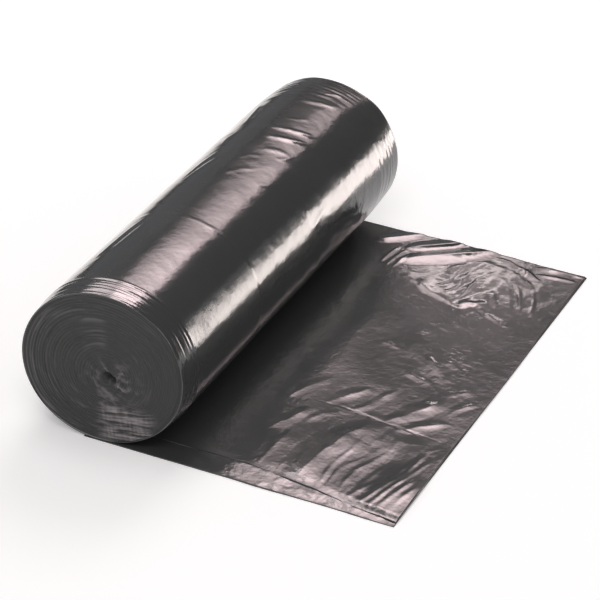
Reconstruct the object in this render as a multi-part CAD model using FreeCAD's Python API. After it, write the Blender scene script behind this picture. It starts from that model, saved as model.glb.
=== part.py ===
import FreeCAD, Part
import math
import os

# A roll of folded refuse sacks lying on a flat surface, with its free end pulled out to one side.
# Millimetres. The roll's axis runs along Y, the free end points along +X and +Z is up. The origin
# is on the surface, straight below the roll's axis, halfway along the roll.

# Web of film: the sacks folded lengthwise, as wide as the roll is long
web_width = 229.0
bottom_layer = 0.6
web_thickness = 1.1
gusset_step = 0.35
layer_stagger = 0.7

# Wound turns, a little wider than high because the roll is soft
roll_width = 74.8
roll_height = 71.4
resting_sag = 0.9
edge_recess = 0.4

# Bands where folded edges step the turns down towards each end of the roll. Each has the distance
# in from the edge of the web at which it starts, and how much smaller the turns are from there on.
end_drop = 1.25
near_end_bands = [(13.5, 0.35), (10.0, 0.65), (6.5, 0.95), (3.2, end_drop)]
far_end_bands = [(12.0, 0.65), (7.5, 0.95), (3.5, end_drop)]

# Gaps between the turns, as the two ends show them
turn_pitch = 4.5
turn_gap = 1.0
turn_gap_depth = 1.4
outer_turn = 1.8
arcs_per_turn = 6

# Crushed hollow in the middle of the turns
eye_width = 7.0
eye_height = 4.4
eye_depth = 9.0
eye_across = 3.6
eye_down = 3.6

# Free end, with upper layers that stop short of the near edge
free_length = 134.0
near_setback = 12.8
end_setback = 4.0
notch_from_roll = 64.0
fold_line_in = 76.0
fold_line_drift = 10.0

# Puckers of the free end. Each is a ridge with its start and end as shares of the free end's length
# from the roll's axis and of the web's width from the near edge, then its half width and height.
puckers = [
    (0.27, 0.88, 0.63, 0.985, 7.0, 2.4),
    (0.39, 0.84, 0.72, 0.98, 7.0, 3.0),
    (0.32, 0.95, 0.47, 0.985, 4.5, 1.8),
    (0.42, 0.825, 0.53, 0.805, 4.0, 2.0),
    (0.51, 0.815, 0.69, 0.76, 5.0, 2.6),
    (0.67, 0.75, 0.79, 0.80, 4.5, 2.0),
    (0.76, 0.795, 0.90, 0.735, 4.5, 1.8),
    (0.69, 0.83, 0.87, 0.94, 8.0, 2.0),
    (0.80, 0.91, 0.97, 0.77, 8.0, 1.7),
    (0.50, 0.75, 0.81, 0.51, 10.0, 1.7),
    (0.73, 0.32, 0.95, 0.49, 9.0, 2.0),
    (0.41, 0.31, 0.51, 0.41, 6.5, 1.5),
    (0.42, 0.18, 0.53, 0.30, 7.0, 1.6),
    (0.64, 0.06, 0.79, 0.29, 10.0, 2.2),
    (0.74, 0.05, 0.72, 0.25, 4.5, 2.6),
    (0.83, 0.03, 0.92, 0.26, 5.5, 3.0),
    (0.88, 0.03, 0.955, 0.28, 4.5, 3.4),
    (0.94, 0.03, 0.975, 0.22, 3.0, 2.6),
    (0.53, 0.015, 0.66, 0.04, 3.0, 1.4),
    (0.66, 0.012, 0.80, 0.035, 2.5, 1.6),
    (0.97, 0.30, 0.97, 0.72, 3.5, 1.1),
]
pucker_ridge = (0.3, 0.7)

half_web = web_width / 2
half_roll = half_web - edge_recess
half_across = roll_width / 2
half_up = (roll_height + resting_sag) / 2
axis_height = roll_height - half_up
last_angle = 1.5 * math.pi


def vector(x, y, z):
    return FreeCAD.Vector(x, y, z)


def ellipse_face(centre, half_x, half_z):
    """A flat ellipse that faces along Y, whichever way it is longer."""
    tips = sorted([vector(half_x, 0, 0), vector(0, 0, half_z)], key=lambda tip: -tip.Length)
    outline = Part.Ellipse(centre + tips[0], centre + tips[1], centre)
    return Part.Face(Part.Wire(outline.toShape()))


def oval(y, drop):
    """A cut across the turns at y, smaller all round by the drop, and flat where it rests."""
    whole = ellipse_face(vector(0, y, axis_height), half_across - drop, half_up - drop)
    corners = [(-half_across, 0), (half_across, 0), (half_across, roll_height), (-half_across, roll_height)]
    window = Part.Face(Part.makePolygon([vector(x, y, z) for x, z in corners + corners[:1]]))
    return whole.common(window).Faces[0]


def turn_bands():
    """The length of the roll as bands: where each starts and ends along Y, and its drop."""
    bands = []
    low = -half_roll + turn_gap_depth
    for distance, drop in reversed(near_end_bands):
        high = -half_web + distance
        bands.append((low, high, drop))
        low = high
    high = -half_web + fold_line_in
    bands.append((low, high, 0.0))
    low = high
    drop = gusset_step
    for distance, next_drop in far_end_bands:
        high = half_web - distance
        bands.append((low, high, drop))
        low = high
        drop = next_drop
    bands.append((low, half_roll - turn_gap_depth, drop))
    return bands


def gap_point(y, angle, inset):
    """A point on one side of the gap. The angle runs anticlockwise from +X, seen from -Y."""
    radius = half_up - end_drop - outer_turn - turn_pitch * (last_angle - angle) / (2 * math.pi) - inset
    inwards = 1 - radius / half_up
    x = eye_across * inwards + radius * half_across / half_up * math.cos(angle)
    z = axis_height - eye_down * inwards + radius * math.sin(angle)
    return vector(x, y, z)


def turn_gap_face(y):
    """The spiral gap between neighbouring turns as a flat strip at y, from the eye to the last turn."""
    room = half_up - end_drop - outer_turn - turn_gap - eye_width / 2
    sweep = 2 * math.pi * room / turn_pitch
    count = math.ceil(arcs_per_turn * room / turn_pitch)
    angles = [last_angle - sweep * i / (2 * count) for i in range(2 * count + 1)]
    edges = []
    for inset in (0.0, turn_gap):
        points = [gap_point(y, angle, inset) for angle in angles]
        edges += [Part.Arc(*points[i:i + 3]).toShape() for i in range(0, 2 * count, 2)]
    for angle in (angles[0], angles[-1]):
        edges.append(Part.makeLine(gap_point(y, angle, 0.0), gap_point(y, angle, turn_gap)))
    return Part.Face(Part.Wire(Part.__sortEdges__(edges)))


def end_turns(y, inwards):
    """The last slice of the turns at one end, with the gap between them open to that end."""
    slice_face = oval(y, end_drop).cut(turn_gap_face(y)).Faces[0]
    return slice_face.extrude(vector(0, inwards * turn_gap_depth, 0))


def eye(y, inwards):
    """The hollow in the middle of the turns at one end."""
    outline = ellipse_face(vector(eye_across, y, axis_height - eye_down), eye_width / 2, eye_height / 2)
    return outline.extrude(vector(0, inwards * eye_depth, 0))


def layer(corners, thickness):
    """A flat layer on the surface, with its corners as x and y."""
    outline = Part.makePolygon([vector(x, y, 0) for x, y in corners + corners[:1]])
    return Part.Face(outline).extrude(vector(0, 0, thickness))


def free_end_layers():
    """The full-width bottom layer, the upper layers set back from it, and the gusset's extra layers."""
    near = -half_web
    far = half_web - layer_stagger
    end = free_length - layer_stagger
    bottom = [(0, near), (free_length, near), (free_length, half_web), (0, half_web)]
    upper = [
        (0, near + near_setback),
        (notch_from_roll, near + near_setback),
        (end, near + end_setback),
        (end, far),
        (0, far),
    ]
    gusset = [
        (0, near + near_setback + layer_stagger),
        (notch_from_roll, near + near_setback + layer_stagger),
        (end - layer_stagger, near + end_setback + layer_stagger),
        (end - layer_stagger, near + fold_line_in - fold_line_drift),
        (0, near + fold_line_in),
    ]
    return [layer(bottom, bottom_layer), layer(upper, web_thickness), layer(gusset, web_thickness + gusset_step)]


def pucker(from_length, from_width, to_length, to_width, half, height):
    """A ridge of film: a sharp crease with a sloping facet to each side, run out to a point at each end."""
    start = vector(from_length * free_length, from_width * web_width - half_web, 0)
    end = vector(to_length * free_length, to_width * web_width - half_web, 0)
    along = end - start
    aside = vector(-along.y, along.x, 0).normalize() * half
    middle = start + along * 0.5
    left = middle + aside
    right = middle - aside
    up = vector(0, 0, web_thickness + height)
    top_start, top_end = [start + along * share + up for share in pucker_ridge]
    facets = [[start, left, end, right]]
    for side in (left, right):
        facets += [[start, side, top_start], [top_start, side, top_end], [top_end, side, end]]
    faces = [Part.Face(Part.makePolygon(points + points[:1])) for points in facets]
    return Part.Solid(Part.Shell(faces))


def bag_roll():
    """Turns and free end as the one web that they are."""
    bands = [oval(start, drop).extrude(vector(0, end - start, 0)) for start, end, drop in turn_bands()]
    ends = [end_turns(-half_roll, 1), end_turns(half_roll, -1)]
    ridges = [pucker(*values) for values in puckers]
    body = bands[0].multiFuse(bands[1:] + ends + free_end_layers() + ridges)
    return body.cut([eye(-half_roll, 1), eye(half_roll, -1)]).removeSplitter()


def main():
    os.makedirs("parts", exist_ok=True)
    shape = bag_roll()
    shape.exportStep("parts/bag_roll.step")
    box = shape.BoundBox
    print(f"bag_roll: {len(shape.Solids)} solid, valid {shape.isValid()}, {len(shape.Faces)} faces")
    print(f"volume {shape.Volume / 1000:.1f} cm3, {box.XLength:.1f} x {box.YLength:.1f} x {box.ZLength:.1f} mm")


main()
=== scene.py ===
import bpy
import math
import numpy as np
from mathutils import Matrix, Vector


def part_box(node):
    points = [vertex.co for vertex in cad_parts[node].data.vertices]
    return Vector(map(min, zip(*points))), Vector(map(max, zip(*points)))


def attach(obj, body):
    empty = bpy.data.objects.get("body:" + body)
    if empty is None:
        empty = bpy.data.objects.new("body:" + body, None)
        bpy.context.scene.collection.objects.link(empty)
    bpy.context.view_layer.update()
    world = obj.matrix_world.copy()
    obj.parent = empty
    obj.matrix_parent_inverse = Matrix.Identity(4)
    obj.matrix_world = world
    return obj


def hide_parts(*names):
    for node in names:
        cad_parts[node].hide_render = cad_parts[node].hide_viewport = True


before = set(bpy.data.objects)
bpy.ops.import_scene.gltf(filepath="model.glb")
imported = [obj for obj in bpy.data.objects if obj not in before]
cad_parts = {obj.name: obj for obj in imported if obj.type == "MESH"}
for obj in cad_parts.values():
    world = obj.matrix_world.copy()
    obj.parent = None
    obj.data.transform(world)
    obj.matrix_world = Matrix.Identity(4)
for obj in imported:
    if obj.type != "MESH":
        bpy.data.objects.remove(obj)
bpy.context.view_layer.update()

# Everything below is worked out in millimetres and turned into metres when a mesh, lamp or camera is made.
mm = 0.001
lowCorner, highCorner = [np.array(corner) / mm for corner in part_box("bag_roll")]
halfWeb = highCorner[1]                    # half the width of the web, which is half the roll's length
freeEndX = highCorner[0]                   # where the free end stops
halfAcross = -lowCorner[0]                 # half the roll's width
rollTop = highCorner[2]
restingSag = 0.9                           # how far the soft roll has settled at the bottom
halfUp = (rollTop + restingSag) / 2
axisHeight = rollTop - halfUp


# Noise and folds

noiseCells = 64                                # cells after which the noise repeats
noiseReach = 1.6                               # makes up for what the spline smooths away
foldShape = {
    "tipWidth": 0.35,                          # a fold's width at its tips, as a share of its middle's
    "crest": 0.25,                             # how much its slopes steepen towards the crest
    "tipPower": 0.6,                           # the lower, the blunter its tips
}


def smoothNoise(u, v, seed, wrap=noiseCells):  # soft random hills, repeating in u after wrap cells
    table = np.random.default_rng(seed).uniform(-noiseReach, noiseReach, (wrap, noiseCells))
    cellU = np.floor(u).astype(int)
    cellV = np.floor(v).astype(int)
    total = np.zeros(np.broadcast(u, v).shape)
    for i, weightU in enumerate(splineWeights(u - cellU)):
        for j, weightV in enumerate(splineWeights(v - cellV)):
            total += weightU * weightV * table[(cellU + i) % wrap, (cellV + j) % noiseCells]
    return total


def splineWeights(t):                          # a cubic spline, so that reflections don't break up
    return (
        (1 - t) ** 3 / 6,
        (3 * t ** 3 - 6 * t ** 2 + 4) / 6,
        (-3 * t ** 3 + 3 * t ** 2 + 3 * t + 1) / 6,
        t ** 3 / 6,
    )


def crumple(u, v, seed, layers=3, wrap=noiseCells):  # sharp little ridges, as in thin film that was squeezed
    total = 0.0
    height = 1.0
    for i in range(layers):
        total = total + height * (0.5 - np.abs(smoothNoise(u, v, seed + i, wrap)))
        u = u * 2
        v = v * 2
        wrap = wrap * 2
        height = height * 0.5
    return total


def rise(value, start, finish):                # 0 before start, 1 after finish, smooth between
    t = np.clip((value - start) / (finish - start), 0, 1)
    return t * t * (3 - 2 * t)


def foldHeight(x, y, folds):                   # a fold: height, width of its left and right slopes, points
    total = np.zeros(np.broadcast(x, y).shape)
    for height, leftWidth, rightWidth, points in folds:
        points = np.array(points, float)
        lengths = np.hypot(*(points[1:] - points[:-1]).T)
        nearest = np.full(total.shape, 1e9)
        side = np.zeros(total.shape)
        travelled = np.zeros(total.shape)
        start = 0.0
        for (x0, y0), (x1, y1), length in zip(points[:-1], points[1:], lengths):
            along = ((x - x0) * (x1 - x0) + (y - y0) * (y1 - y0)) / length
            aside = ((x1 - x0) * (y - y0) - (y1 - y0) * (x - x0)) / length
            held = np.clip(along, 0, length)
            distance = np.hypot(along - held, aside)
            closer = distance < nearest
            nearest = np.where(closer, distance, nearest)
            side = np.where(closer, np.sign(aside), side)
            travelled = np.where(closer, start + held, travelled)
            start += length
        t = travelled / start
        taper = rise(4 * t * (1 - t), 0, 1) ** foldShape["tipPower"]
        width = np.where(side > 0, leftWidth, rightWidth)
        width = width * (foldShape["tipWidth"] + (1 - foldShape["tipWidth"]) * taper)
        slope = np.clip(1 - nearest / width, 0, 1)
        total += height * taper * slope * (1 - foldShape["crest"] + foldShape["crest"] * slope)
    return total


# Meshes

def gridFaces(rows, columns, closed=False):  # quads over a grid of points, joined round if closed
    last = columns if closed else columns - 1
    row, column = np.meshgrid(np.arange(rows - 1), np.arange(last), indexing="ij")
    follow = (column + 1) % columns
    here = row * columns
    quads = np.stack([here + column, here + follow, here + columns + follow, here + columns + column], -1)
    return quads.reshape(-1, 4).tolist()


def addPiece(name, points, faces, material, highlightPaint=None):
    mesh = bpy.data.meshes.new(name)
    mesh.from_pydata((np.asarray(points).reshape(-1, 3) * mm).tolist(), [], faces)
    mesh.polygons.foreach_set("use_smooth", [True] * len(mesh.polygons))
    # an optional per-point share of painted highlight colour
    if highlightPaint is not None:
        layer = mesh.attributes.new("highlightPaint", "FLOAT", "POINT")
        layer.data.foreach_set("value", np.ravel(highlightPaint))
    mesh.materials.append(material)
    mesh.update()
    piece = bpy.data.objects.new(name, mesh)
    bpy.context.scene.collection.objects.link(piece)
    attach(piece, "root")
    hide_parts("bag_roll")
    return piece


def closedSheet(name, top, underside, material):  # a grid of film with a rim all round and a flat underside
    rows, columns = top.shape[:2]
    index = np.arange(rows * columns).reshape(rows, columns)
    loop = np.concatenate([index[0, :-1], index[:-1, -1], index[-1, :0:-1], index[:0:-1, 0]])
    rim = top.reshape(-1, 3)[loop].copy()
    rim[:, 2] = underside
    count = len(loop)
    base = rows * columns
    faces = gridFaces(rows, columns)
    for i in range(count):
        follow = (i + 1) % count
        faces.append([int(loop[i]), base + i, base + follow, int(loop[follow])])
    faces.append([base + i for i in range(count)][::-1])
    return addPiece(name, np.concatenate([top.reshape(-1, 3), rim]), faces, material)


# Film

filmLook = {
    "black": (0.047, 0.051, 0.049, 1.0),
    "rubbed": (0.060, 0.060, 0.061, 1.0),
    "highlightPaintColour": (0.46, 0.42, 0.43, 1.0),        # painted highlight: pale base colour standing in for glints on the bent film edges of the ends
    "ior": 1.62,
    "rubbedPatches": (28, 3),                  # how fine, and how detailed
    "glossPatches": (60, 4),
    "grainDetail": 2,
}


def filmMaterial(name, roughness, specular, grain, grainHeight):
    material = bpy.data.materials.new(name)
    material.use_nodes = True
    nodes = material.node_tree.nodes
    links = material.node_tree.links
    shader = nodes["Principled BSDF"]
    shader.inputs["IOR"].default_value = filmLook["ior"]
    shader.inputs["Specular IOR Level"].default_value = specular
    place = nodes.new("ShaderNodeTexCoord")

    def noise(scale, detail):
        node = nodes.new("ShaderNodeTexNoise")
        node.inputs["Scale"].default_value = scale
        node.inputs["Detail"].default_value = detail
        links.new(place.outputs["Object"], node.inputs["Vector"])
        return node.outputs["Fac"]

    tone = nodes.new("ShaderNodeMix")          # black, slightly greyer where the film has rubbed
    tone.data_type = "RGBA"
    tone.inputs["A"].default_value = filmLook["black"]
    tone.inputs["B"].default_value = filmLook["rubbed"]
    links.new(noise(*filmLook["rubbedPatches"]), tone.inputs["Factor"])
    # Painted highlight: a per-point attribute mixes a pale colour into the black where the ends should catch
    # glints.
    highlightPaint = nodes.new("ShaderNodeAttribute")
    highlightPaint.attribute_name = "highlightPaint"
    glintPaint = nodes.new("ShaderNodeMix")
    glintPaint.data_type = "RGBA"
    glintPaint.inputs["B"].default_value = filmLook["highlightPaintColour"]
    links.new(highlightPaint.outputs["Fac"], glintPaint.inputs["Factor"])
    links.new(tone.outputs["Result"], glintPaint.inputs["A"])
    links.new(glintPaint.outputs["Result"], shader.inputs["Base Color"])

    gloss = nodes.new("ShaderNodeMapRange")
    gloss.inputs["To Min"].default_value = roughness[0]
    gloss.inputs["To Max"].default_value = roughness[1]
    links.new(noise(*filmLook["glossPatches"]), gloss.inputs["Value"])
    links.new(gloss.outputs["Result"], shader.inputs["Roughness"])

    bumped = None
    for scale, height in zip(grain, grainHeight):  # fine puckers too small for the mesh
        bump = nodes.new("ShaderNodeBump")
        bump.inputs["Distance"].default_value = height * mm
        bump.inputs["Strength"].default_value = 1.0
        links.new(noise(scale, filmLook["grainDetail"]), bump.inputs["Height"])
        if bumped:
            links.new(bumped.outputs["Normal"], bump.inputs["Normal"])
        bumped = bump
    links.new(bumped.outputs["Normal"], shader.inputs["Normal"])
    return material


# Roughness runs between two values. Grain is how fine each layer of puckers is, its height is in mm.
turnFilm = filmMaterial("turnFilm", roughness=(0.12, 0.19), specular=0.5,
                        grain=(150, 450), grainHeight=(0.06, 0.05))
edgeFilm = filmMaterial("edgeFilm", roughness=(0.30, 0.45), specular=0.12,
                        grain=(500, 1400), grainHeight=(0.16, 0.07))
sheetFilm = filmMaterial("sheetFilm", roughness=(0.12, 0.19), specular=0.40,
                         grain=(240, 620), grainHeight=(0.11, 0.05))
print("film materials ready")


# Outer turn of the roll. Angles run from the top towards the free end, distances along the roll are y.

turn = {
    "columns": 360,
    "middleStep": 1.05,
    "endStep": 0.42,
    "endZone": 16.0,
    "lip": [(0.15, 0.05), (0.45, 0.03), (1.0, -1.2)],  # the rim: how far in, and how far out past the end
    "skew": 2.2,                               # the near end isn't quite square to the roll
    "nearSetIn": 0.6,
    "farSetIn": 0.4,
    "nearRings": [                             # folded edges near the end: how far in, height
        (1.4, 0.14), (3.3, 0.15), (5.0, 0.17), (6.9, 0.14), (8.6, 0.17), (10.6, 0.14), (12.7, 0.16),
    ],
    "farRings": [
        (2.4, 0.03), (4.6, 0.04), (6.8, 0.03), (9.6, 0.05), (13.0, 0.04), (17.5, 0.05), (22.0, 0.07),
    ],
    "ringWander": (0.55, 12),                  # how far a ring strays, and how often round the roll
    "ringPatches": (0.75, 0.45, 20),           # mean strength, how much it varies, times round the roll
    "ringWidths": (1.0, 0.55),                 # of the outward and the inward slope
    "ringStep": 0.15,                          # each ring steps the film down towards the end
    "ringStepAcross": (-0.2, 1.8),
    "shyRings": (0.72, 0.28, 0.8),             # the far end's dark stretch: angle, width, share lost
    "swell": (0.14, 6, 48, 3),                 # height, how many round the roll, length along it, seed
    "ripples": (0.12, 16, 15, 4),
    "creases": (0.12, 30, 7, 5),
    "nearShare": 0.5,                          # share of ripples and creases left on the near half
    "halves": (-30, 20),                       # and grow to full height between these
    "foldLine": -38.5,                         # the sacks' inner fold, where the film steps down
    "foldStep": 0.12,
    "foldStepHalf": 0.3,
    "foldLip": (0.10, 0.6),                    # height and width of the soft ridge along it
    "folds": [                                 # across the roll: arc length from the top, y
        (0.26, 1.6, 2.8, [(-7, 86.5), (2, 87.5), (9, 89.5), (15, 91.5)]),
        (0.42, 1.6, 3.0, [(-7, 54.6), (0, 55.6), (8, 57.8), (17, 61.5)]),
        (0.40, 1.6, 2.8, [(-5, 45.6), (2, 46.6), (9, 49.2), (17, 54)]),
        (0.22, 2.5, 3.0, [(2, 34), (9, 37), (15, 38)]),
        (0.16, 2.0, 2.0, [(11, 30), (14, 34), (16, 40)]),
        (0.35, 2.2, 1.8, [(-12.5, 22), (-16, 10), (-20.5, -2)]),
        (0.30, 2.2, 1.8, [(-17, 30), (-20, 16), (-22, 0)]),
        (0.30, 1.8, 1.8, [(-14, -44), (-15.5, -60), (-17.5, -76)]),
        (0.30, 2.4, 1.8, [(-18, -40), (-21, -58), (-23, -80)]),
        (0.26, 1.6, 1.6, [(-19, 36), (-21, 44), (-18, 52)]),
        (0.26, 2.0, 2.0, [(-20, 60), (-22, 74), (-25, 90)]),
        (0.15, 3.0, 2.0, [(42.5, 34), (44, 27), (46, 19)]),
        (0.14, 1.6, 2.0, [(-2, 66), (4, 68), (9, 72)]),
        (0.12, 1.6, 2.0, [(-4, 20), (0, 26), (6, 28)]),
        (0.14, 2.4, 2.4, [(-3, 4), (2, 12), (8, 16)]),
        (0.12, 1.5, 1.5, [(3, 98), (8, 101), (13, 103)]),
        (0.12, 1.5, 1.5, [(0, 94), (6, 97), (12, 98)]),
    ],
    "crests": [                                # long low crests: arc, y, half width, half length, height
        (-8.5, 52, 7.5, 62, 0.42),
        (-22, 0, 6, 90, 0.10),
        (32, -105, 7, 34, 0.30),
        (38, 45, 6, 40, 0.22),
    ],
}


def endShift(x, nearEnd):                      # how far in from the web's plain end the rim stands at this x
    return turn["nearSetIn"] + turn["skew"] * x / halfAcross if nearEnd else turn["farSetIn"]


def ringRelief(distance, angle, rings, seed):  # folded edges that show as rings near an end
    relief = np.zeros(np.broadcast(distance, angle).shape)
    spin = angle / (2 * math.pi)
    strays, strayTimes = turn["ringWander"]
    mean, varies, patchTimes = turn["ringPatches"]
    outerWidth, innerWidth = turn["ringWidths"]
    for i, (place, height) in enumerate(rings):
        wander = strays * smoothNoise(spin * strayTimes, np.full_like(angle, i * 3.1), seed, strayTimes)
        patches = smoothNoise(spin * patchTimes, np.full_like(angle, i * 5.3), seed + 9, patchTimes)
        apart = distance - place - wander
        bulge = np.exp(-np.where(apart < 0, apart / outerWidth, apart / innerWidth) ** 2)
        relief += height * (mean + varies * patches) * bulge
        relief -= turn["ringStep"] * rise(-apart, *turn["ringStepAcross"])
    return relief


def turnNoise(layer, noise, spin, y):          # a layer of unevenness that closes on itself round the roll
    height, times, length, seed = layer
    return height * noise(spin * times, y / length, seed, wrap=times)


def turnRelief(angle, y):                      # how far the outer turn stands proud of the plain oval, in mm
    arc = (angle + math.pi) % (2 * math.pi) - math.pi
    across = arc * (halfAcross + halfUp) / 2
    spin = angle / (2 * math.pi)
    x = halfAcross * np.sin(angle)
    share = turn["nearShare"] + (1 - turn["nearShare"]) * rise(y, *turn["halves"])
    relief = turnNoise(turn["swell"], smoothNoise, spin, y)
    relief += turnNoise(turn["ripples"], smoothNoise, spin, y) * share
    relief += turnNoise(turn["creases"], crumple, spin, y) * share
    for centre, middle, halfWidth, halfLength, height in turn["crests"]:
        relief += height * np.exp(-((across - centre) / halfWidth) ** 2 - ((y - middle) / halfLength) ** 4)
    relief += foldHeight(across, y, turn["folds"])
    pastFold = y - turn["foldLine"]
    lipHeight, lipWidth = turn["foldLip"]
    relief -= turn["foldStep"] * rise(pastFold, -turn["foldStepHalf"], turn["foldStepHalf"])
    relief += lipHeight * np.exp(-(pastFold / lipWidth) ** 2)
    relief += ringRelief(y + halfWeb - endShift(x, True), angle, turn["nearRings"], 31)
    darkAngle, darkWidth, lost = turn["shyRings"]
    shy = 1 - lost * np.exp(-((arc - darkAngle) / darkWidth) ** 2)
    relief += shy * ringRelief(halfWeb - endShift(x, False) - y, angle, turn["farRings"], 47)
    return relief


def ovalPoint(angle, relief):                  # a point of the turns' section, set off square to the surface
    normalX = np.sin(angle) / halfAcross
    normalZ = np.cos(angle) / halfUp
    size = np.hypot(normalX, normalZ)
    x = halfAcross * np.sin(angle) + relief * normalX / size
    z = axisHeight + halfUp * np.cos(angle) + relief * normalZ / size
    return x, np.maximum(z, 0.03)


def makeOuterTurn():
    near = np.arange(0, turn["endZone"], turn["endStep"])
    plain = 2 * halfWeb - 2 * turn["endZone"]
    middle = np.linspace(turn["endZone"], 2 * halfWeb - turn["endZone"], int(plain / turn["middleStep"]))
    far = 2 * halfWeb - near[::-1]
    rowY = np.concatenate([near, middle, far]) - halfWeb
    angle = np.linspace(0, 2 * math.pi, turn["columns"], endpoint=False)
    y, theta = np.meshgrid(rowY, angle, indexing="ij")
    sideX = halfAcross * np.sin(theta)
    share = (y + halfWeb) / (2 * halfWeb)      # rows follow the skewed near end and straighten along the roll
    y = y + endShift(sideX, True) * (1 - share) ** 3 - turn["farSetIn"] * share ** 3
    x, z = ovalPoint(theta, turnRelief(theta, y))
    rows = [np.stack([x, y, z], -1)]
    for inwards, past in turn["lip"]:
        for k, outward in ((0, -1), (-1, 1)):
            rimX, rimZ = ovalPoint(theta[k], turnRelief(theta[k], y[k]) - inwards)
            lipRow = np.stack([rimX, y[k] + outward * past, rimZ], -1)[None]
            if k == 0:
                rows.insert(0, lipRow)
            else:
                rows.append(lipRow)
    points = np.concatenate(rows)
    return addPiece("outerTurn", points, gridFaces(len(points), turn["columns"], True), turnFilm)


outerTurn = makeOuterTurn()
print("outer turn ready")


# Ends of the roll, where every turn shows its edge

ends = {
    "rings": 132,
    "columns": 460,
    "crowding": 0.85,                          # below 1, the mesh's rings crowd towards the rim
    "pitch": 4.5,                              # from one open gap between the turns to the next
    "gapDepth": 0.35,
    "finePitch": 1.18,                         # from one folded edge to the next
    "fineDepth": 0.30,
    "streakHeight": 0.30,
    "crushed": (2.0, -3.0, 9.0),               # crumpled middle: centre measured from the eye's, and reach
    "crushedHeight": 1.5,
    "bentGlintPatch": (11.5, -26.0, 12.0, 9.5),        # patch of bent film edges, with painted glints: centre from the axis, half width, half height
    "bruiseHeight": 0.25,
    "glintArcs": (-4.0, 17.0, 5.5, 10.0),       # painted glint arcs above the eye, placed likewise
    # painted highlight: how much pale colour each part of an end gets, standing in for light caught there
    "glintPaintShare": {"bentGlintPatch": 0.74, "crushed": 0.50, "arcs": 0.22, "streaks": 0.16, "edges": 0.09},
    "eyeAcross": 3.6,
    "eyeDown": 3.6,
    "eyeSize": (3.4, 2.2),
    "eyeDepth": 4.0,
    "rimDrop": 0.6,
    "rimFrom": 3.0,                            # the rim follows the outer turn's shape this far in
    "rimRound": (3.0, 0.2),                    # how far in the rim rounds off, and by how much
}
eyeX = ends["eyeAcross"]
eyeZ = axisHeight - ends["eyeDown"]


def endNoise(spin, radius, times, length, seed):  # noise that closes on itself round the roll
    return smoothNoise(spin * times, radius / length, seed, times)


def endPatch(x, z, place, power):              # 1 inside a soft-edged patch of an end, 0 outside
    centreX, centreZ, halfWidth, halfHeight = place
    return np.exp(-((x - centreX) / halfWidth) ** power - ((z - axisHeight - centreZ) / halfHeight) ** power)


def turnEdges(spin, radius, outward, seed):    # gaps, folded edges and streaks, and how much painted highlight they get
    wavy = radius / ends["pitch"] + spin * outward + 0.30 * endNoise(spin, radius, 9, 6, seed)
    fromGap = np.abs(wavy % 1 - 0.5) * 2
    gaping = np.maximum(0.3 + 0.9 * endNoise(spin, radius, 7, 5, seed + 1), 0)
    relief = -ends["gapDepth"] * (1 - rise(fromGap, 0.0, 0.25)) * gaping
    fine = (radius / ends["finePitch"] + spin + 0.45 * endNoise(spin, radius, 11, 3, seed + 2)) % 1
    loose = np.maximum(0.6 + 0.9 * endNoise(spin, radius, 16, 4, seed + 3), 0)
    relief -= ends["fineDepth"] * np.abs(fine * 2 - 1) * loose
    streaks = endNoise(spin, radius, 32, 0.7, seed + 4)
    patchy = np.maximum(endNoise(spin, radius, 5, 11, seed + 5), 0)
    relief += ends["streakHeight"] * streaks * (0.25 + 0.5 * patchy)
    # painted highlight: pale colour along streaks and folded edges, standing in for the light they catch
    glintPaint = ends["glintPaintShare"]["streaks"] * patchy * rise(streaks, 0.3, 1.0)
    glintPaint += ends["glintPaintShare"]["edges"] * rise(fine, 0.6, 1.0) * (0.5 + patchy)
    return relief, glintPaint


def endDamage(x, z, spin, radius, seed):       # crushed eye, bent patch and arcs, and how much painted highlight they get
    glintPaintShare = ends["glintPaintShare"]
    fromX, fromZ, reach = ends["crushed"]
    crushed = np.exp(-(np.hypot(x - eyeX - fromX, z - eyeZ - fromZ) / reach) ** 2)
    creased = crumple(x / 3.6 + 20, z / 2.8, seed + 6, 3)
    relief = ends["crushedHeight"] * crushed * creased
    bentGlintPatch = endPatch(x, z, ends["bentGlintPatch"], 6)
    bent = z - 0.16 * x + 0.8 * smoothNoise(x / 6 + 20, z / 6, seed + 12)
    strands = smoothNoise(x / 4.0 + 20, bent / 0.45, seed + 7)
    strands += 0.35 * smoothNoise((x + 0.15 * z) / 0.5 + 20, z / 2.5, seed + 11)
    relief += ends["bruiseHeight"] * bentGlintPatch * strands
    hollow = np.hypot((x - eyeX) / ends["eyeSize"][0], (z - eyeZ) / ends["eyeSize"][1])
    hollow += 0.5 * smoothNoise(x / 2.2 + 20, z / 2.2, seed + 9)
    torn = 0.8 + 0.3 * crumple(x / 2 + 9, z / 2, seed + 8, 1)
    relief -= ends["eyeDepth"] * (1 - rise(hollow, 0.3, 1.35)) * torn
    arcs = endNoise(spin, radius, 18, 0.55, seed + 10)
    # painted highlight: pale colour on the bent patch, the crushed middle and the arcs, standing in for
    # glints
    glintPaint = glintPaintShare["bentGlintPatch"] * bentGlintPatch * rise(strands, -0.9, 1.3)
    glintPaint += glintPaintShare["crushed"] * crushed * rise(creased, 0.2, 0.9)
    glintPaint += glintPaintShare["arcs"] * endPatch(x, z, ends["glintArcs"], 4) * rise(arcs, -0.2, 1.2)
    return relief, glintPaint


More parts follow.
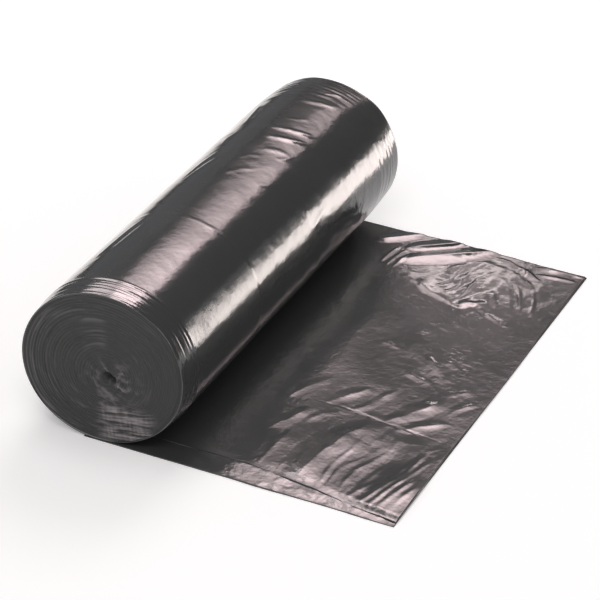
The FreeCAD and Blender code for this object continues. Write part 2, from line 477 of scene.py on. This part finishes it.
def makeEndTurns(name, nearEnd, seed):
    outward = -1 if nearEnd else 1
    share = np.linspace(0.0, 1.0, ends["rings"]) ** ends["crowding"]
    angle = np.linspace(0, 2 * math.pi, ends["columns"], endpoint=False)
    ring, theta = np.meshgrid(share, angle, indexing="ij")
    spin = theta / (2 * math.pi)
    radius = ring * halfUp
    rimY = np.full_like(theta, outward * (halfWeb - ends["rimFrom"]))
    rimX, rimZ = ovalPoint(theta, turnRelief(theta, rimY) - ends["rimDrop"])
    x = eyeX + (rimX - eyeX) * ring
    z = eyeZ + (rimZ - eyeZ) * ring
    edges, edgesGlintPaint = turnEdges(spin, radius, outward, seed)
    damage, damageGlintPaint = endDamage(x, z, spin, radius, seed)
    roundFrom, rounding = ends["rimRound"]
    relief = edges + damage - rounding * rise(radius, halfUp - roundFrom, halfUp) ** 2
    y = outward * (halfWeb + relief) + (endShift(x, True) if nearEnd else -turn["farSetIn"])
    faces = gridFaces(ends["rings"], ends["columns"], True)
    if nearEnd:
        faces = [face[::-1] for face in faces]
    # the ends carry their painted highlights as a per-point share of pale colour
    return addPiece(name, np.stack([x, y, z], -1), faces, edgeFilm, edgesGlintPaint + damageGlintPaint)


nearEndTurns = makeEndTurns("nearEndTurns", True, 60)
farEndTurns = makeEndTurns("farEndTurns", False, 80)
print("end turns ready")


# Free end: the bottom layer at full width, and the layers that lie puckered over it

freeEnd = {
    "start": -6.0,
    "step": 0.56,
    "rowShare": 0.94,                          # rows lie a little wider apart than columns
    "nearEdge": [(-6, -101.7), (62, -101.7), (66, -102.6), (93, -105.8), (100, -107.5), (120, -110.6),
                 (134, -112.2)],
    "farEdge": [(-6, 114.0), (40, 114.2), (60, 115.1), (90, 115.2), (110, 114.4), (134, 114.0)],
    "rest": 0.75,
    "underside": 0.3,
    "thinnest": 0.15,
    "ragged": {"end": 0.6, "near": 0.35, "far": 0.3},   # how far each edge strays from its line
    "pressed": (0.7, 0.24),                    # how firmly the near edge is held down, and more at its corner
    "settled": (1.35, 0.5),                    # height it is held at, and how much lower at the corner
    "drawnIn": (1.6, 1.3),                     # a raised fold draws the far edge in, above this height
    "waves": [                                 # height, lengths along x and y, seed, only clear of the roll
        (0.26, 21.0, 27.0, 11, False),
        (0.22, 8.0, 10.0, 12, True),
        (0.10, 3.6, 4.4, 13, True),
    ],
    "creases": [                               # height, more at the far and near part, lengths, seed
        (0.16, 0.14, 0.0, 13.0, 15.0, 15),
        (0.0, 0.25, 0.0, 8.0, 40.0, 51),
        (0.05, 0.0, 0.11, 5.0, 34.0, 19),
    ],
    "crumpledPatch": (0.80, 108, 10, 17, 26),  # height, centre, reach along x and y
    "wander": [(1.3, 9.0), (0.3, 3.2)],        # how far folds stray from their lines, and over what length
    "uneven": (0.8, 0.6, 5.0),                 # a fold's mean strength, how much it changes, over what length
    "heldByRoll": (14, 40),                    # x over which the film comes free of the roll
    "clearOfRoll": (50, 75),
    "farPart": (40, 75),
    "nearPart": (40, 80),
    "calm": (0.80, 0.50),                      # strength of waves and creases, and less of it in the middle
    "middle": ((-52, -32), (60, 74)),
    "pulled": (0.75, (45, 60), (100, 110)),    # the near corner is pulled into straight folds
    "edgeCalm": (0.45, 6, 22),                 # the near edge lies flatter
    "nearLift": (0.7, 35, 100),                # the near part lies on more layers
    "folds": [
        # the lip that crosses below the pleats
        (0.75, 9.0, 3.4, [(56, 73.5), (67, 72), (72, 69), (77, 67), (84, 64), (89, 61)]),
        (0.90, 5.0, 3.2, [(87, 61), (91, 62.5), (94, 66.5), (98, 67.5), (101, 64.5), (104, 60)]),
        (0.28, 3.0, 3.0, [(102, 61), (109, 58), (118, 54)]),
        # arched folds above the lip
        (0.34, 3.0, 8.5, [(68, 77), (75, 92), (87, 104), (101, 103), (114, 92), (123, 72)]),
        (0.32, 2.8, 7.0, [(78, 74), (82, 85), (90, 95), (101, 92), (109, 82), (114, 66)]),
        (0.30, 2.4, 5.0, [(84, 70), (87, 78), (94, 86), (101, 81), (104, 74), (106, 66)]),
        (0.50, 1.2, 5.0, [(87, 112), (97, 110.5), (108, 106), (120, 98)]),
        (0.34, 1.2, 1.6, [(73, 72), (78, 82), (80, 92), (80, 104)]),
        (0.34, 1.1, 1.5, [(79, 69), (84, 80), (85, 92), (88, 104)]),
        (0.36, 1.3, 1.5, [(86, 66), (89, 76), (91, 88), (96, 100)]),
        (0.22, 2.4, 2.6, [(90, 63), (93, 71), (98, 78), (104, 82)]),
        (0.34, 1.6, 1.3, [(105, 92), (110, 88), (114, 80), (118, 70)]),
        (0.30, 1.5, 1.3, [(110, 98), (117, 90), (121, 80), (124, 66)]),
        (0.45, 1.5, 1.5, [(103, 102), (105, 108), (106, 116)]),
        (0.40, 1.5, 1.5, [(108, 100), (109, 108), (110, 116)]),
        (0.60, 1.6, 3.5, [(108, 111), (122, 112), (134, 112)]),
        (0.50, 1.6, 3.0, [(112, 104.5), (122, 106), (134, 106)]),
        # soft folds across the middle
        (0.20, 4.5, 3.5, [(97, 14), (103, 8), (110, 1)]),
        (0.26, 2.8, 3.4, [(92, -3), (99, -6), (107, -7)]),
        (0.18, 2.8, 3.0, [(72, 17), (78, 15), (83, 13)]),
        (0.18, 2.6, 2.6, [(104, 16), (110, 12), (118, 6)]),
        (0.62, 6.0, 6.0, [(101, -45), (108, -34), (115, -22), (125, -4)]),
        (0.38, 4.5, 4.5, [(106, -50), (114, -42), (121, -36), (127, -33)]),
        (0.26, 4.5, 3.5, [(56, -46), (60, -36), (67, -22)]),
        (0.34, 4.0, 4.5, [(57, -75), (63, -62), (70, -46)]),
        (0.28, 5.0, 4.0, [(72, -44), (78, -32), (84, -22)]),
        (0.26, 3.0, 4.0, [(84, -44), (92, -30), (96, -18)]),
        (0.26, 2.8, 2.8, [(122, -28), (127, -20), (132, -12)]),
        # the inner fold of the sacks, pressed in
        (-0.24, 0.8, 0.8, [(64, -42.1), (68, -42.5), (90, -44.5), (110, -46.6), (133.5, -49.6)]),
        # folds that run towards the near edge
        (0.15, 1.6, 2.4, [(94, -109), (95, -84), (98, -58)]),
        (0.13, 1.6, 2.2, [(97, -104), (99, -88), (104, -72)]),
        (0.18, 1.8, 2.6, [(104, -104), (105, -84), (111, -66)]),
        (0.16, 1.8, 2.4, [(110, -110), (111, -92), (115, -72)]),
        (0.20, 2.2, 2.6, [(66, -101), (66.5, -84), (67, -66)]),
        (0.18, 2.2, 2.6, [(76, -102), (77, -84), (80, -66)]),
        (0.30, 2.4, 3.0, [(70, -62), (74, -52), (80, -47)]),
        # the bunched near corner
        (0.34, 3.0, 2.0, [(113, -113), (118, -98), (124, -78), (126, -58), (131, -52)]),
        (0.36, 2.6, 1.8, [(118, -113), (122, -96), (127, -76), (131, -60)]),
        (0.34, 2.4, 1.7, [(122, -113), (126, -96), (130, -78)]),
        (0.32, 2.2, 1.6, [(127, -113), (130, -98), (132, -86)]),
        (0.24, 2.2, 1.9, [(107, -112), (112, -98), (118, -84)]),
        (0.18, 1.8, 1.6, [(114, -100), (120, -84), (123, -66)]),
    ],
    "pleats": [                                # long straight ones by the far edge
        (1.60, 5.8, 7.8, [(49, 85.5), (60, 94), (76, 107), (92, 119.5)]),
        (1.30, 5.6, 4.8, [(49, 98.5), (60, 107), (74, 118.5)]),
        (0.95, 5.0, 4.6, [(33, 99), (42, 106.5), (54, 117)]),
        (0.42, 1.3, 1.6, [(43.5, 80), (44.5, 90), (46, 99)]),
        (0.40, 1.2, 1.5, [(47, 79), (48.5, 90), (50.5, 98)]),
        (0.40, 1.2, 1.5, [(50.5, 79), (52, 88), (54, 96)]),
    ],
    "broadFolds": [
        (0.30, 14.0, 9.0, [(84, 32), (92, 21), (104, 6), (113, -5)]),
        (1.20, 9.0, 14.0, [(84, -109), (86, -84), (91, -62), (97, -46)]),
    ],
    "swells": [                                # broad soft rises: x, y, half length, half width, turn, height
        (60, 20, 30, 12, 84, 0.4),
        (84, 46, 26, 12, -14, -0.15),
        (78, -14, 12, 22, 40, 0.4),
        (124, -24, 14, 26, 10, 0.3),
        (112, -84, 7, 26, -6, -0.4),
        (128, -92, 8, 22, -8, 0.7),
    ],
}


def edgeLine(x, corners):                      # an edge that runs straight from corner to corner
    places = np.array(corners, float)
    return np.interp(x, places[:, 0], places[:, 1])


def swellHeight(x, y, swells):
    total = np.zeros(np.broadcast(x, y).shape)
    for centreX, centreY, length, width, turned, height in swells:
        along = math.radians(turned)
        u = (x - centreX) * math.cos(along) + (y - centreY) * math.sin(along)
        v = (y - centreY) * math.cos(along) - (x - centreX) * math.sin(along)
        total += height * np.exp(-(u / length) ** 2 - (v / width) ** 2)
    return total


def wander(x, y, seed):                        # how far a fold strays from its line here
    total = np.zeros(np.broadcast(x, y).shape)
    for i, (reach, length) in enumerate(freeEnd["wander"]):
        total += reach * smoothNoise(x / length, y / length, seed + i)
    return total


def looseRelief(x, y, warpX, warpY):           # waves and creases all over
    clear = rise(x, *freeEnd["clearOfRoll"])
    far = rise(y, *freeEnd["farPart"])
    near = rise(-y, *freeEnd["nearPart"])
    relief = np.zeros(np.broadcast(x, y).shape)
    for height, lengthX, lengthY, seed, onlyClear in freeEnd["waves"]:
        relief += height * smoothNoise(x / lengthX + 5, y / lengthY, seed) * (clear if onlyClear else 1)
    for height, farHeight, nearHeight, lengthX, lengthY, seed in freeEnd["creases"]:
        strength = (height + farHeight * far + nearHeight * near) * clear
        relief += strength * crumple(warpX / lengthX + 7, warpY / lengthY, seed, 3)
    height, centreX, centreY, reachX, reachY = freeEnd["crumpledPatch"]
    patch = height * np.exp(-((x - centreX) / reachX) ** 2 - ((y - centreY) / reachY) ** 2)
    return relief + patch * crumple((warpX + 0.5 * warpY) / 9, warpY / 6, 35, 3)


def sheetRelief(x, y):
    pull, alongY, alongX = freeEnd["pulled"]
    loose = 1 - pull * rise(-y, *alongY) * rise(x, *alongX)
    warpX = x + wander(x, y, 24) * loose
    warpY = y + wander(x, y, 26) * loose
    most, less = freeEnd["calm"]
    middleFrom, middleTo = freeEnd["middle"]
    calm = most - less * rise(y, *middleFrom) * (1 - rise(y, *middleTo))
    relief = looseRelief(x, y, warpX, warpY) * calm
    relief += swellHeight(x, y, freeEnd["swells"]) + foldHeight(x, y, freeEnd["pleats"])
    mean, spread, length = freeEnd["uneven"]
    uneven = mean + spread * smoothNoise(x / length, y / length, 28)
    relief += foldHeight(warpX, warpY, freeEnd["folds"]) * uneven
    relief += foldHeight(warpX, warpY, freeEnd["broadFolds"])
    least, edgeFrom, edgeTo = freeEnd["edgeCalm"]
    relief *= least + (1 - least) * rise(y + halfWeb, edgeFrom, edgeTo)
    lift, liftFrom, liftTo = freeEnd["nearLift"]
    relief += lift * rise(-y, liftFrom, liftTo) * rise(x, *freeEnd["clearOfRoll"])
    return relief * rise(x, *freeEnd["heldByRoll"])


def makeFreeEnd():
    length = freeEndX - freeEnd["start"]
    rows = int(2 * halfWeb / freeEnd["step"] * freeEnd["rowShare"])
    columns = int(length / freeEnd["step"])
    t, s = np.meshgrid(np.linspace(0, 1, rows), np.linspace(0, 1, columns), indexing="ij")
    ragged = freeEnd["ragged"]
    x = freeEnd["start"] + length * s
    x = x + ragged["end"] * rise(s, 0.9, 1.0) * smoothNoise(t * 9, t * 0 + 3, 21)
    nearY = edgeLine(x, freeEnd["nearEdge"])
    farY = edgeLine(x, freeEnd["farEdge"])
    y = nearY + (farY - nearY) * t
    y = y + ragged["near"] * (1 - t) ** 20 * smoothNoise(x / 7, t * 0, 22)
    y = y + ragged["far"] * t ** 20 * smoothNoise(x / 9, t * 0, 23)
    z = freeEnd["rest"] * rise(x, freeEnd["start"] - 4, 6) + sheetRelief(x, y)
    edgeHold, cornerHold = freeEnd["pressed"]
    pressed = (1 - rise(y - nearY, 0, 5)) * (edgeHold * rise(x, 40, 66) + cornerHold * rise(x, 94, 110))
    level, drop = freeEnd["settled"]
    settled = level - drop * rise(x, 88, 114)
    z = settled + (z - settled) * (1 - pressed)
    z = np.maximum(z, freeEnd["underside"] + freeEnd["thinnest"])
    pull, above = freeEnd["drawnIn"]
    y = y - pull * np.maximum(z - above, 0) * rise(t, 0.88, 1.0)
    return closedSheet("freeEnd", np.stack([x, y, z], -1), freeEnd["underside"], sheetFilm)


bottomLayer = {
    "start": -8.0,
    "hem": 14.0,                               # what shows beyond the layers above
    "hemStep": 0.5,
    "plainStep": 9.0,
    "columnStep": 0.6,
    "rest": 0.42,
    "thinnest": 0.12,
    "underside": 0.02,
    "pastEnd": 0.3,
    "crinkles": (0.23, 7, 6, 71),              # height, lengths along x and y, seed
    "waves": (0.17, 16, 9, 75),
    "hemRise": 0.85,                           # the hem climbs towards the layers above
    "heldByRoll": (20, 66),
    "drawnIn": 2.5,                            # the far edge is drawn in under the pleats
    "drawnFrom": (50, 62),
    "drawnTo": (104, 118),
    "ragged": (0.5, 12, 76),                   # near edge: how far it strays, over what length, seed
}


def makeBottomLayer():
    columns = int((freeEndX - bottomLayer["start"]) / bottomLayer["columnStep"])
    hemWidth = bottomLayer["hem"]
    hem = np.arange(0, hemWidth, bottomLayer["hemStep"])
    plain = np.arange(hemWidth, 2 * halfWeb, bottomLayer["plainStep"])
    rowY = np.concatenate([hem, plain, [2 * halfWeb]]) - halfWeb
    columnX = np.linspace(bottomLayer["start"], freeEndX + bottomLayer["pastEnd"], columns)
    y, x = np.meshgrid(rowY, columnX, indexing="ij")
    drawn = rise(x, *bottomLayer["drawnFrom"]) * (1 - rise(x, *bottomLayer["drawnTo"]))
    y = y - bottomLayer["drawnIn"] * drawn * rise(y, halfWeb - 8, halfWeb)
    inHem = rise(-y, halfWeb - hemWidth, halfWeb - hemWidth + 2)
    held = rise(x, *bottomLayer["heldByRoll"])
    height, lengthX, lengthY, seed = bottomLayer["crinkles"]
    relief = height * crumple(x / lengthX, y / lengthY, seed, 3)
    height, lengthX, lengthY, seed = bottomLayer["waves"]
    relief += height * smoothNoise(x / lengthX, y / lengthY, seed)
    relief += bottomLayer["hemRise"] * rise(y + halfWeb, -3, hemWidth - 2)
    z = bottomLayer["rest"] * rise(x, bottomLayer["start"] - 5, 4) + inHem * held * relief
    reach, length, seed = bottomLayer["ragged"]
    y = y + reach * smoothNoise(x / length, y * 0 + 2, seed) * rise(-y, halfWeb - 4, halfWeb) * held
    z = np.maximum(z, bottomLayer["thinnest"])
    return closedSheet("bottomLayer", np.stack([x, y, z], -1), bottomLayer["underside"], sheetFilm)


upperSheet = makeFreeEnd()
fullSheet = makeBottomLayer()
print("free end ready")


# Floor, lamps and camera

studio = {
    "floorSize": 12000.0,
    "floorColour": (0.95, 0.93, 0.93, 1.0),
    "floorGlow": 0.25,                         # lifts the lit floor to plain white
    "surround": (0.40, 0.388, 0.390, 1.0),
    "lamps": [                                 # name, centre, aim, size, brightness, colour, mirrored
        ("backLamp", (-300, 1700, 1600), (0, 0, 30), 1000, 1000, 4.4, (1.0, 0.98, 0.98), False),
        ("frontLamp", (500, -1500, 2300), (0, 0, 0), 1300, 1100, 3.3, (1.0, 0.99, 0.99), True),
        ("topLamp", (-500, 300, 2300), (0, 0, 0), 900, 900, 2.9, (1.0, 0.99, 0.99), True),
    ],
    "boxBack": 1600.0,                         # the big soft box behind, which only the film mirrors
    "boxSides": (-858.0, 290.0),
    "boxFade": 60.0,                           # how far its left and right edges take to fade out
    "boxCentre": -300.0,
    "boxTop": 2700.0,
    "boxTilt": 0.35,                           # the box leans, so its glow grows upwards and to the right
    "boxGlow": [(550, 0.1), (850, 0.13), (950, 0.17), (1010, 0.27), (1080, 0.8), (1150, 1.8), (1230, 2.8),
                (1400, 4.2), (1550, 6.8), (1800, 12.0), (2400, 18.0)],
    "boxLow": 600.0,
    "boxColour": (1.0, 0.80, 0.82, 1.0),
    "tentRadius": 5000.0,
    "tentColour": (0.02, 0.02, 0.02, 1.0),
    "tentLift": 20.0,
}

cards = [                                      # seen in the film alone: name, corners, brightness, colour
    ("rightFloorCard",
     [(215, 125, 1), (1500, 1500, 1), (1500, 1650, 1), (900, 1650, 1), (132, 500, 1), (132, 199, 1),
      (174, 209, 1), (200, 165, 1)],
     8.5, (1.0, 0.90, 0.86, 1.0)),
    ("rightCard",
     [(900, 1600, 0), (1500, 1600, 0), (1450, 1600, 540), (1390, 1600, 480), (1310, 1600, 150),
      (1200, 1600, 90), (950, 1600, 150)],
     7.7, (1.0, 0.90, 0.86, 1.0)),
    ("rightFloorShade",
     [(50, 115.5, 1), (62, 128, 1), (76, 137, 1), (97, 149, 1), (132, 199, 1), (174, 209, 1), (200, 165, 1),
      (215, 125, 1), (215, -150, 1), (135.5, -150, 1), (135.5, 115.5, 1)],
     0.0, (0, 0, 0, 1)),
    ("leftFloorCard",
     [(-60, -250, 1), (-60, 130, 1), (-291, 600, 1), (-291, -250, 1)],
     1.42, (1.0, 0.95, 0.93, 1.0)),
    ("leftFloorShade",
     [(-291, 150, 1), (-291, 4900, 1), (-4900, 4900, 1), (-4900, 150, 1)],
     0.0, (0, 0, 0, 1)),
    ("leftDimCard",
     [(-2600, 1500, 5), (-900, 2600, 5), (-900, 2600, 1300), (-2600, 1500, 1300)],
     0.20, (0.92, 0.92, 1.0, 1.0)),
    ("topCard",
     [(-835, 1600, 2710), (-250, 1600, 2710), (-250, 600, 3100), (-835, 600, 3100)],
     8.0, (1.0, 0.88, 0.88, 1.0)),
    ("leftHighCard",
     [(-2000, 1600, 1450), (-890, 1600, 1450), (-890, 1600, 2700), (-2000, 1600, 2700)],
     7.0, (1.0, 0.86, 0.87, 1.0)),
    ("frontCard",
     [(-1000, -1750, 500), (1000, -1750, 500), (1000, -1750, 2400), (-1000, -1750, 2400)],
     2.2, (1.0, 0.97, 0.97, 1.0)),
    ("leftSideCard",
     [(-1800, -900, 500), (-1800, 700, 500), (-1800, 700, 2400), (-1800, -900, 2400)],
     2.2, (1.0, 0.97, 0.97, 1.0)),
    ("rightSideCard",
     [(1900, -900, 500), (1900, 500, 500), (1900, 500, 2400), (1900, -900, 2400)],
     2.2, (1.0, 0.97, 0.97, 1.0)),
    ("rightDimCard",
     [(1150, 1620, 60), (1420, 1620, 120), (1420, 1620, 640), (1150, 1620, 560)],
     0.34, (1.0, 0.98, 1.0, 1.0)),
]


mottledCard = {                                # a small uneven card just behind the far edge
    "corners": [(-8, 250, 74), (86, 250, 74), (84, 250, 86), (62, 250, 90), (56, 250, 102), (40, 250, 103),
                (20, 250, 101), (7, 250, 98), (-8, 250, 94)],
    "patches": (24.0, 1.0, 90.0),              # noise scale per metre along x, y and z
    "noiseFrom": 0.39,
    "noiseTo": 0.62,
    "dim": 0.2,
    "bright": 12.5,
    "colour": (1.0, 0.84, 0.85, 1.0),
}


def makeStage(name, points, faces, material):
    mesh = bpy.data.meshes.new(name)
    mesh.from_pydata((np.asarray(points, float) * mm).tolist(), [], faces)
    mesh.materials.append(material)
    thing = bpy.data.objects.new(name, mesh)
    bpy.context.scene.collection.objects.link(thing)
    return thing


def onlyInReflections(thing):
    thing.visible_camera = False
    thing.visible_diffuse = False
    thing.visible_shadow = False
    thing.visible_transmission = False


def seenDirectly(nodes, links):                # 1 for camera rays, mirrored and through glass, else 0
    rays = nodes.new("ShaderNodeLightPath")
    seen = rays.outputs["Is Camera Ray"]
    for kind in ("Is Glossy Ray", "Is Transmission Ray"):
        either = nodes.new("ShaderNodeMath")
        either.operation = "MAXIMUM"
        links.new(seen, either.inputs[0])
        links.new(rays.outputs[kind], either.inputs[1])
        seen = either.outputs["Value"]
    return seen


def floorMaterial():
    material = bpy.data.materials.new("floorWhite")
    material.use_nodes = True
    nodes = material.node_tree.nodes
    links = material.node_tree.links
    nodes.clear()
    diffuse = nodes.new("ShaderNodeBsdfDiffuse")
    diffuse.inputs["Color"].default_value = studio["floorColour"]
    glow = nodes.new("ShaderNodeEmission")
    glow.inputs["Color"].default_value = (1, 1, 1, 1)
    glow.inputs["Strength"].default_value = studio["floorGlow"]
    dark = nodes.new("ShaderNodeEmission")
    dark.inputs["Strength"].default_value = 0.0
    lift = nodes.new("ShaderNodeMixShader")
    links.new(seenDirectly(nodes, links), lift.inputs["Fac"])
    links.new(dark.outputs["Emission"], lift.inputs[1])
    links.new(glow.outputs["Emission"], lift.inputs[2])
    both = nodes.new("ShaderNodeAddShader")
    links.new(diffuse.outputs["BSDF"], both.inputs[0])
    links.new(lift.outputs["Shader"], both.inputs[1])
    output = nodes.new("ShaderNodeOutputMaterial")
    links.new(both.outputs["Shader"], output.inputs["Surface"])
    return material


def cardMaterial(name, glow, colour, base=(0, 0, 0, 1)):
    material = bpy.data.materials.new(name)
    material.use_nodes = True
    shader = material.node_tree.nodes["Principled BSDF"]
    shader.inputs["Base Color"].default_value = base
    shader.inputs["Specular IOR Level"].default_value = 0.0
    shader.inputs["Emission Color"].default_value = colour
    shader.inputs["Emission Strength"].default_value = glow
    return material


def softBoxMaterial():                         # its glow grows along its lean and fades out at both sides
    material = cardMaterial("softBox", 0, studio["boxColour"])
    nodes = material.node_tree.nodes
    links = material.node_tree.links
    place = nodes.new("ShaderNodeTexCoord")
    lean = nodes.new("ShaderNodeVectorMath")
    lean.operation = "DOT_PRODUCT"
    lean.inputs[1].default_value = (studio["boxTilt"], 0, 1)
    links.new(place.outputs["Object"], lean.inputs[0])

    profile = studio["boxGlow"]
    low = profile[0][0]
    high = profile[-1][0]
    most = max(value for _, value in profile)
    shift = studio["boxTilt"] * studio["boxCentre"]
    span = nodes.new("ShaderNodeMapRange")
    span.inputs["From Min"].default_value = (low + shift) * mm
    span.inputs["From Max"].default_value = (high + shift) * mm
    links.new(lean.outputs["Value"], span.inputs["Value"])
    ramp = nodes.new("ShaderNodeValToRGB")
    stops = ramp.color_ramp.elements
    for height, value in profile:
        share = (height - low) / (high - low)
        stop = stops[0] if share == 0 else stops[-1] if share == 1 else stops.new(share)
        stop.color = (value / most, value / most, value / most, 1)
    links.new(span.outputs["Result"], ramp.inputs["Fac"])
    scaled = nodes.new("ShaderNodeMath")
    scaled.operation = "MULTIPLY"
    scaled.inputs[1].default_value = most
    links.new(ramp.outputs["Color"], scaled.inputs[0])

    left, right = studio["boxSides"]
    reach = (right - left) / 2
    split = nodes.new("ShaderNodeSeparateXYZ")
    links.new(place.outputs["Object"], split.inputs["Vector"])
    off = nodes.new("ShaderNodeMath")
    off.operation = "SUBTRACT"
    off.inputs[1].default_value = (left + right) / 2 * mm
    links.new(split.outputs["X"], off.inputs[0])
    apart = nodes.new("ShaderNodeMath")
    apart.operation = "ABSOLUTE"
    links.new(off.outputs["Value"], apart.inputs[0])
    edge = nodes.new("ShaderNodeMapRange")
    edge.interpolation_type = "SMOOTHSTEP"
    edge.inputs["From Min"].default_value = (reach - studio["boxFade"]) * mm
    edge.inputs["From Max"].default_value = reach * mm
    edge.inputs["To Min"].default_value = 1.0
    edge.inputs["To Max"].default_value = 0.0
    links.new(apart.outputs["Value"], edge.inputs["Value"])
    faded = nodes.new("ShaderNodeMath")
    faded.operation = "MULTIPLY"
    links.new(scaled.outputs["Value"], faded.inputs[0])
    links.new(edge.outputs["Result"], faded.inputs[1])
    links.new(faded.outputs["Value"], nodes["Principled BSDF"].inputs["Emission Strength"])
    return material


def mottledMaterial():
    material = cardMaterial("mottledCard", 0, mottledCard["colour"])
    nodes = material.node_tree.nodes
    links = material.node_tree.links
    place = nodes.new("ShaderNodeTexCoord")
    mapping = nodes.new("ShaderNodeMapping")
    mapping.inputs["Scale"].default_value = mottledCard["patches"]
    noise = nodes.new("ShaderNodeTexNoise")
    noise.inputs["Scale"].default_value = 1.0
    spread = nodes.new("ShaderNodeMapRange")
    spread.inputs["From Min"].default_value = mottledCard["noiseFrom"]
    spread.inputs["From Max"].default_value = mottledCard["noiseTo"]
    spread.inputs["To Min"].default_value = mottledCard["dim"]
    spread.inputs["To Max"].default_value = mottledCard["bright"]
    links.new(place.outputs["Object"], mapping.inputs["Vector"])
    links.new(mapping.outputs["Vector"], noise.inputs["Vector"])
    links.new(noise.outputs["Fac"], spread.inputs["Value"])
    links.new(spread.outputs["Result"], nodes["Principled BSDF"].inputs["Emission Strength"])
    return material


def makeFloor():
    half = studio["floorSize"] / 2
    corners = [(-half, -half, 0), (half, -half, 0), (half, half, 0), (-half, half, 0)]
    makeStage("floor", corners, [(0, 1, 2, 3)], floorMaterial())


def makeCard(name, corners, material):         # a flat card that only the film mirrors
    onlyInReflections(makeStage(name, corners, [list(range(len(corners)))], material))


def makeCards():
    left, right = studio["boxSides"]
    low = studio["boxLow"]
    top = studio["boxTop"]
    back = studio["boxBack"]
    boxCorners = [(left, back, low), (right, back, low), (right, back, top), (left, back, top)]
    makeCard("softBox", boxCorners, softBoxMaterial())
    makeCard("mottledCard", mottledCard["corners"], mottledMaterial())
    for name, corners, brightness, colour in cards:
        makeCard(name, corners, cardMaterial(name, brightness, colour))


def makeTent():                                # a dark half globe, so the film mirrors black above the floor
    rings = 12
    columns = 48
    steepness = np.linspace(0, math.pi / 2 * 0.999, rings)
    around = np.linspace(0, 2 * math.pi, columns, endpoint=False)
    height, spin = np.meshgrid(steepness, around, indexing="ij")
    reach = studio["tentRadius"]
    x = reach * np.cos(height) * np.cos(spin)
    y = reach * np.cos(height) * np.sin(spin)
    z = reach * np.sin(height) + studio["tentLift"]
    cloth = cardMaterial("tentCloth", 0, (0, 0, 0, 1), studio["tentColour"])
    points = np.stack([x, y, z], -1).reshape(-1, 3)
    onlyInReflections(makeStage("tent", points, gridFaces(rings, columns, True), cloth))


def makeLamps():
    for name, centre, aim, width, height, brightness, colour, mirrored in studio["lamps"]:
        data = bpy.data.lights.new(name, "AREA")
        data.shape = "RECTANGLE"
        data.size = width * mm
        data.size_y = height * mm
        data.energy = brightness * math.pi * width * height * mm * mm
        data.color = colour
        lamp = bpy.data.objects.new(name, data)
        lamp.location = Vector(centre) * mm
        lamp.rotation_euler = (Vector(aim) - Vector(centre)).to_track_quat("-Z", "Y").to_euler()
        lamp.visible_camera = False
        lamp.visible_glossy = mirrored
        bpy.context.scene.collection.objects.link(lamp)


def makeWorld():
    world = bpy.data.worlds.new("studio")
    bpy.context.scene.world = world
    world.use_nodes = True
    nodes = world.node_tree.nodes
    links = world.node_tree.links
    nodes.clear()
    lit = nodes.new("ShaderNodeBackground")
    lit.inputs["Color"].default_value = studio["surround"]
    white = nodes.new("ShaderNodeBackground")
    white.inputs["Color"].default_value = (1, 1, 1, 1)
    mix = nodes.new("ShaderNodeMixShader")
    links.new(seenDirectly(nodes, links), mix.inputs["Fac"])
    links.new(lit.outputs["Background"], mix.inputs[1])
    links.new(white.outputs["Background"], mix.inputs[2])
    output = nodes.new("ShaderNodeOutputWorld")
    links.new(mix.outputs["Shader"], output.inputs["Surface"])


photoCamera = {
    "place": (491.2, -1052.3, 693.9),
    "aim": (45.19, -14.66, 29.96),
    "tilt": 2.80,                              # degrees, the photo leans a little to one side
    "lens": 180.06,
    "sensor": 36.0,
}


def makeCamera():
    place = Vector(photoCamera["place"])
    back = (place - Vector(photoCamera["aim"])).normalized()
    level = Vector((-back.y, back.x, 0)).normalized()
    tilt = math.radians(photoCamera["tilt"])
    right = level * math.cos(tilt) + back.cross(level) * math.sin(tilt)
    above = back.cross(right)
    data = bpy.data.cameras.new("photoCamera")
    data.lens = photoCamera["lens"]
    data.sensor_width = photoCamera["sensor"]
    data.clip_end = 100
    camera = bpy.data.objects.new("photoCamera", data)
    camera.matrix_world = Matrix((right, above, back)).transposed().to_4x4()
    camera.location = place * mm
    bpy.context.scene.collection.objects.link(camera)
    bpy.context.scene.camera = camera


makeFloor()
makeCards()
makeTent()
makeLamps()
makeWorld()
makeCamera()
bpy.context.scene.view_settings.view_transform = "Standard"
print("studio ready")
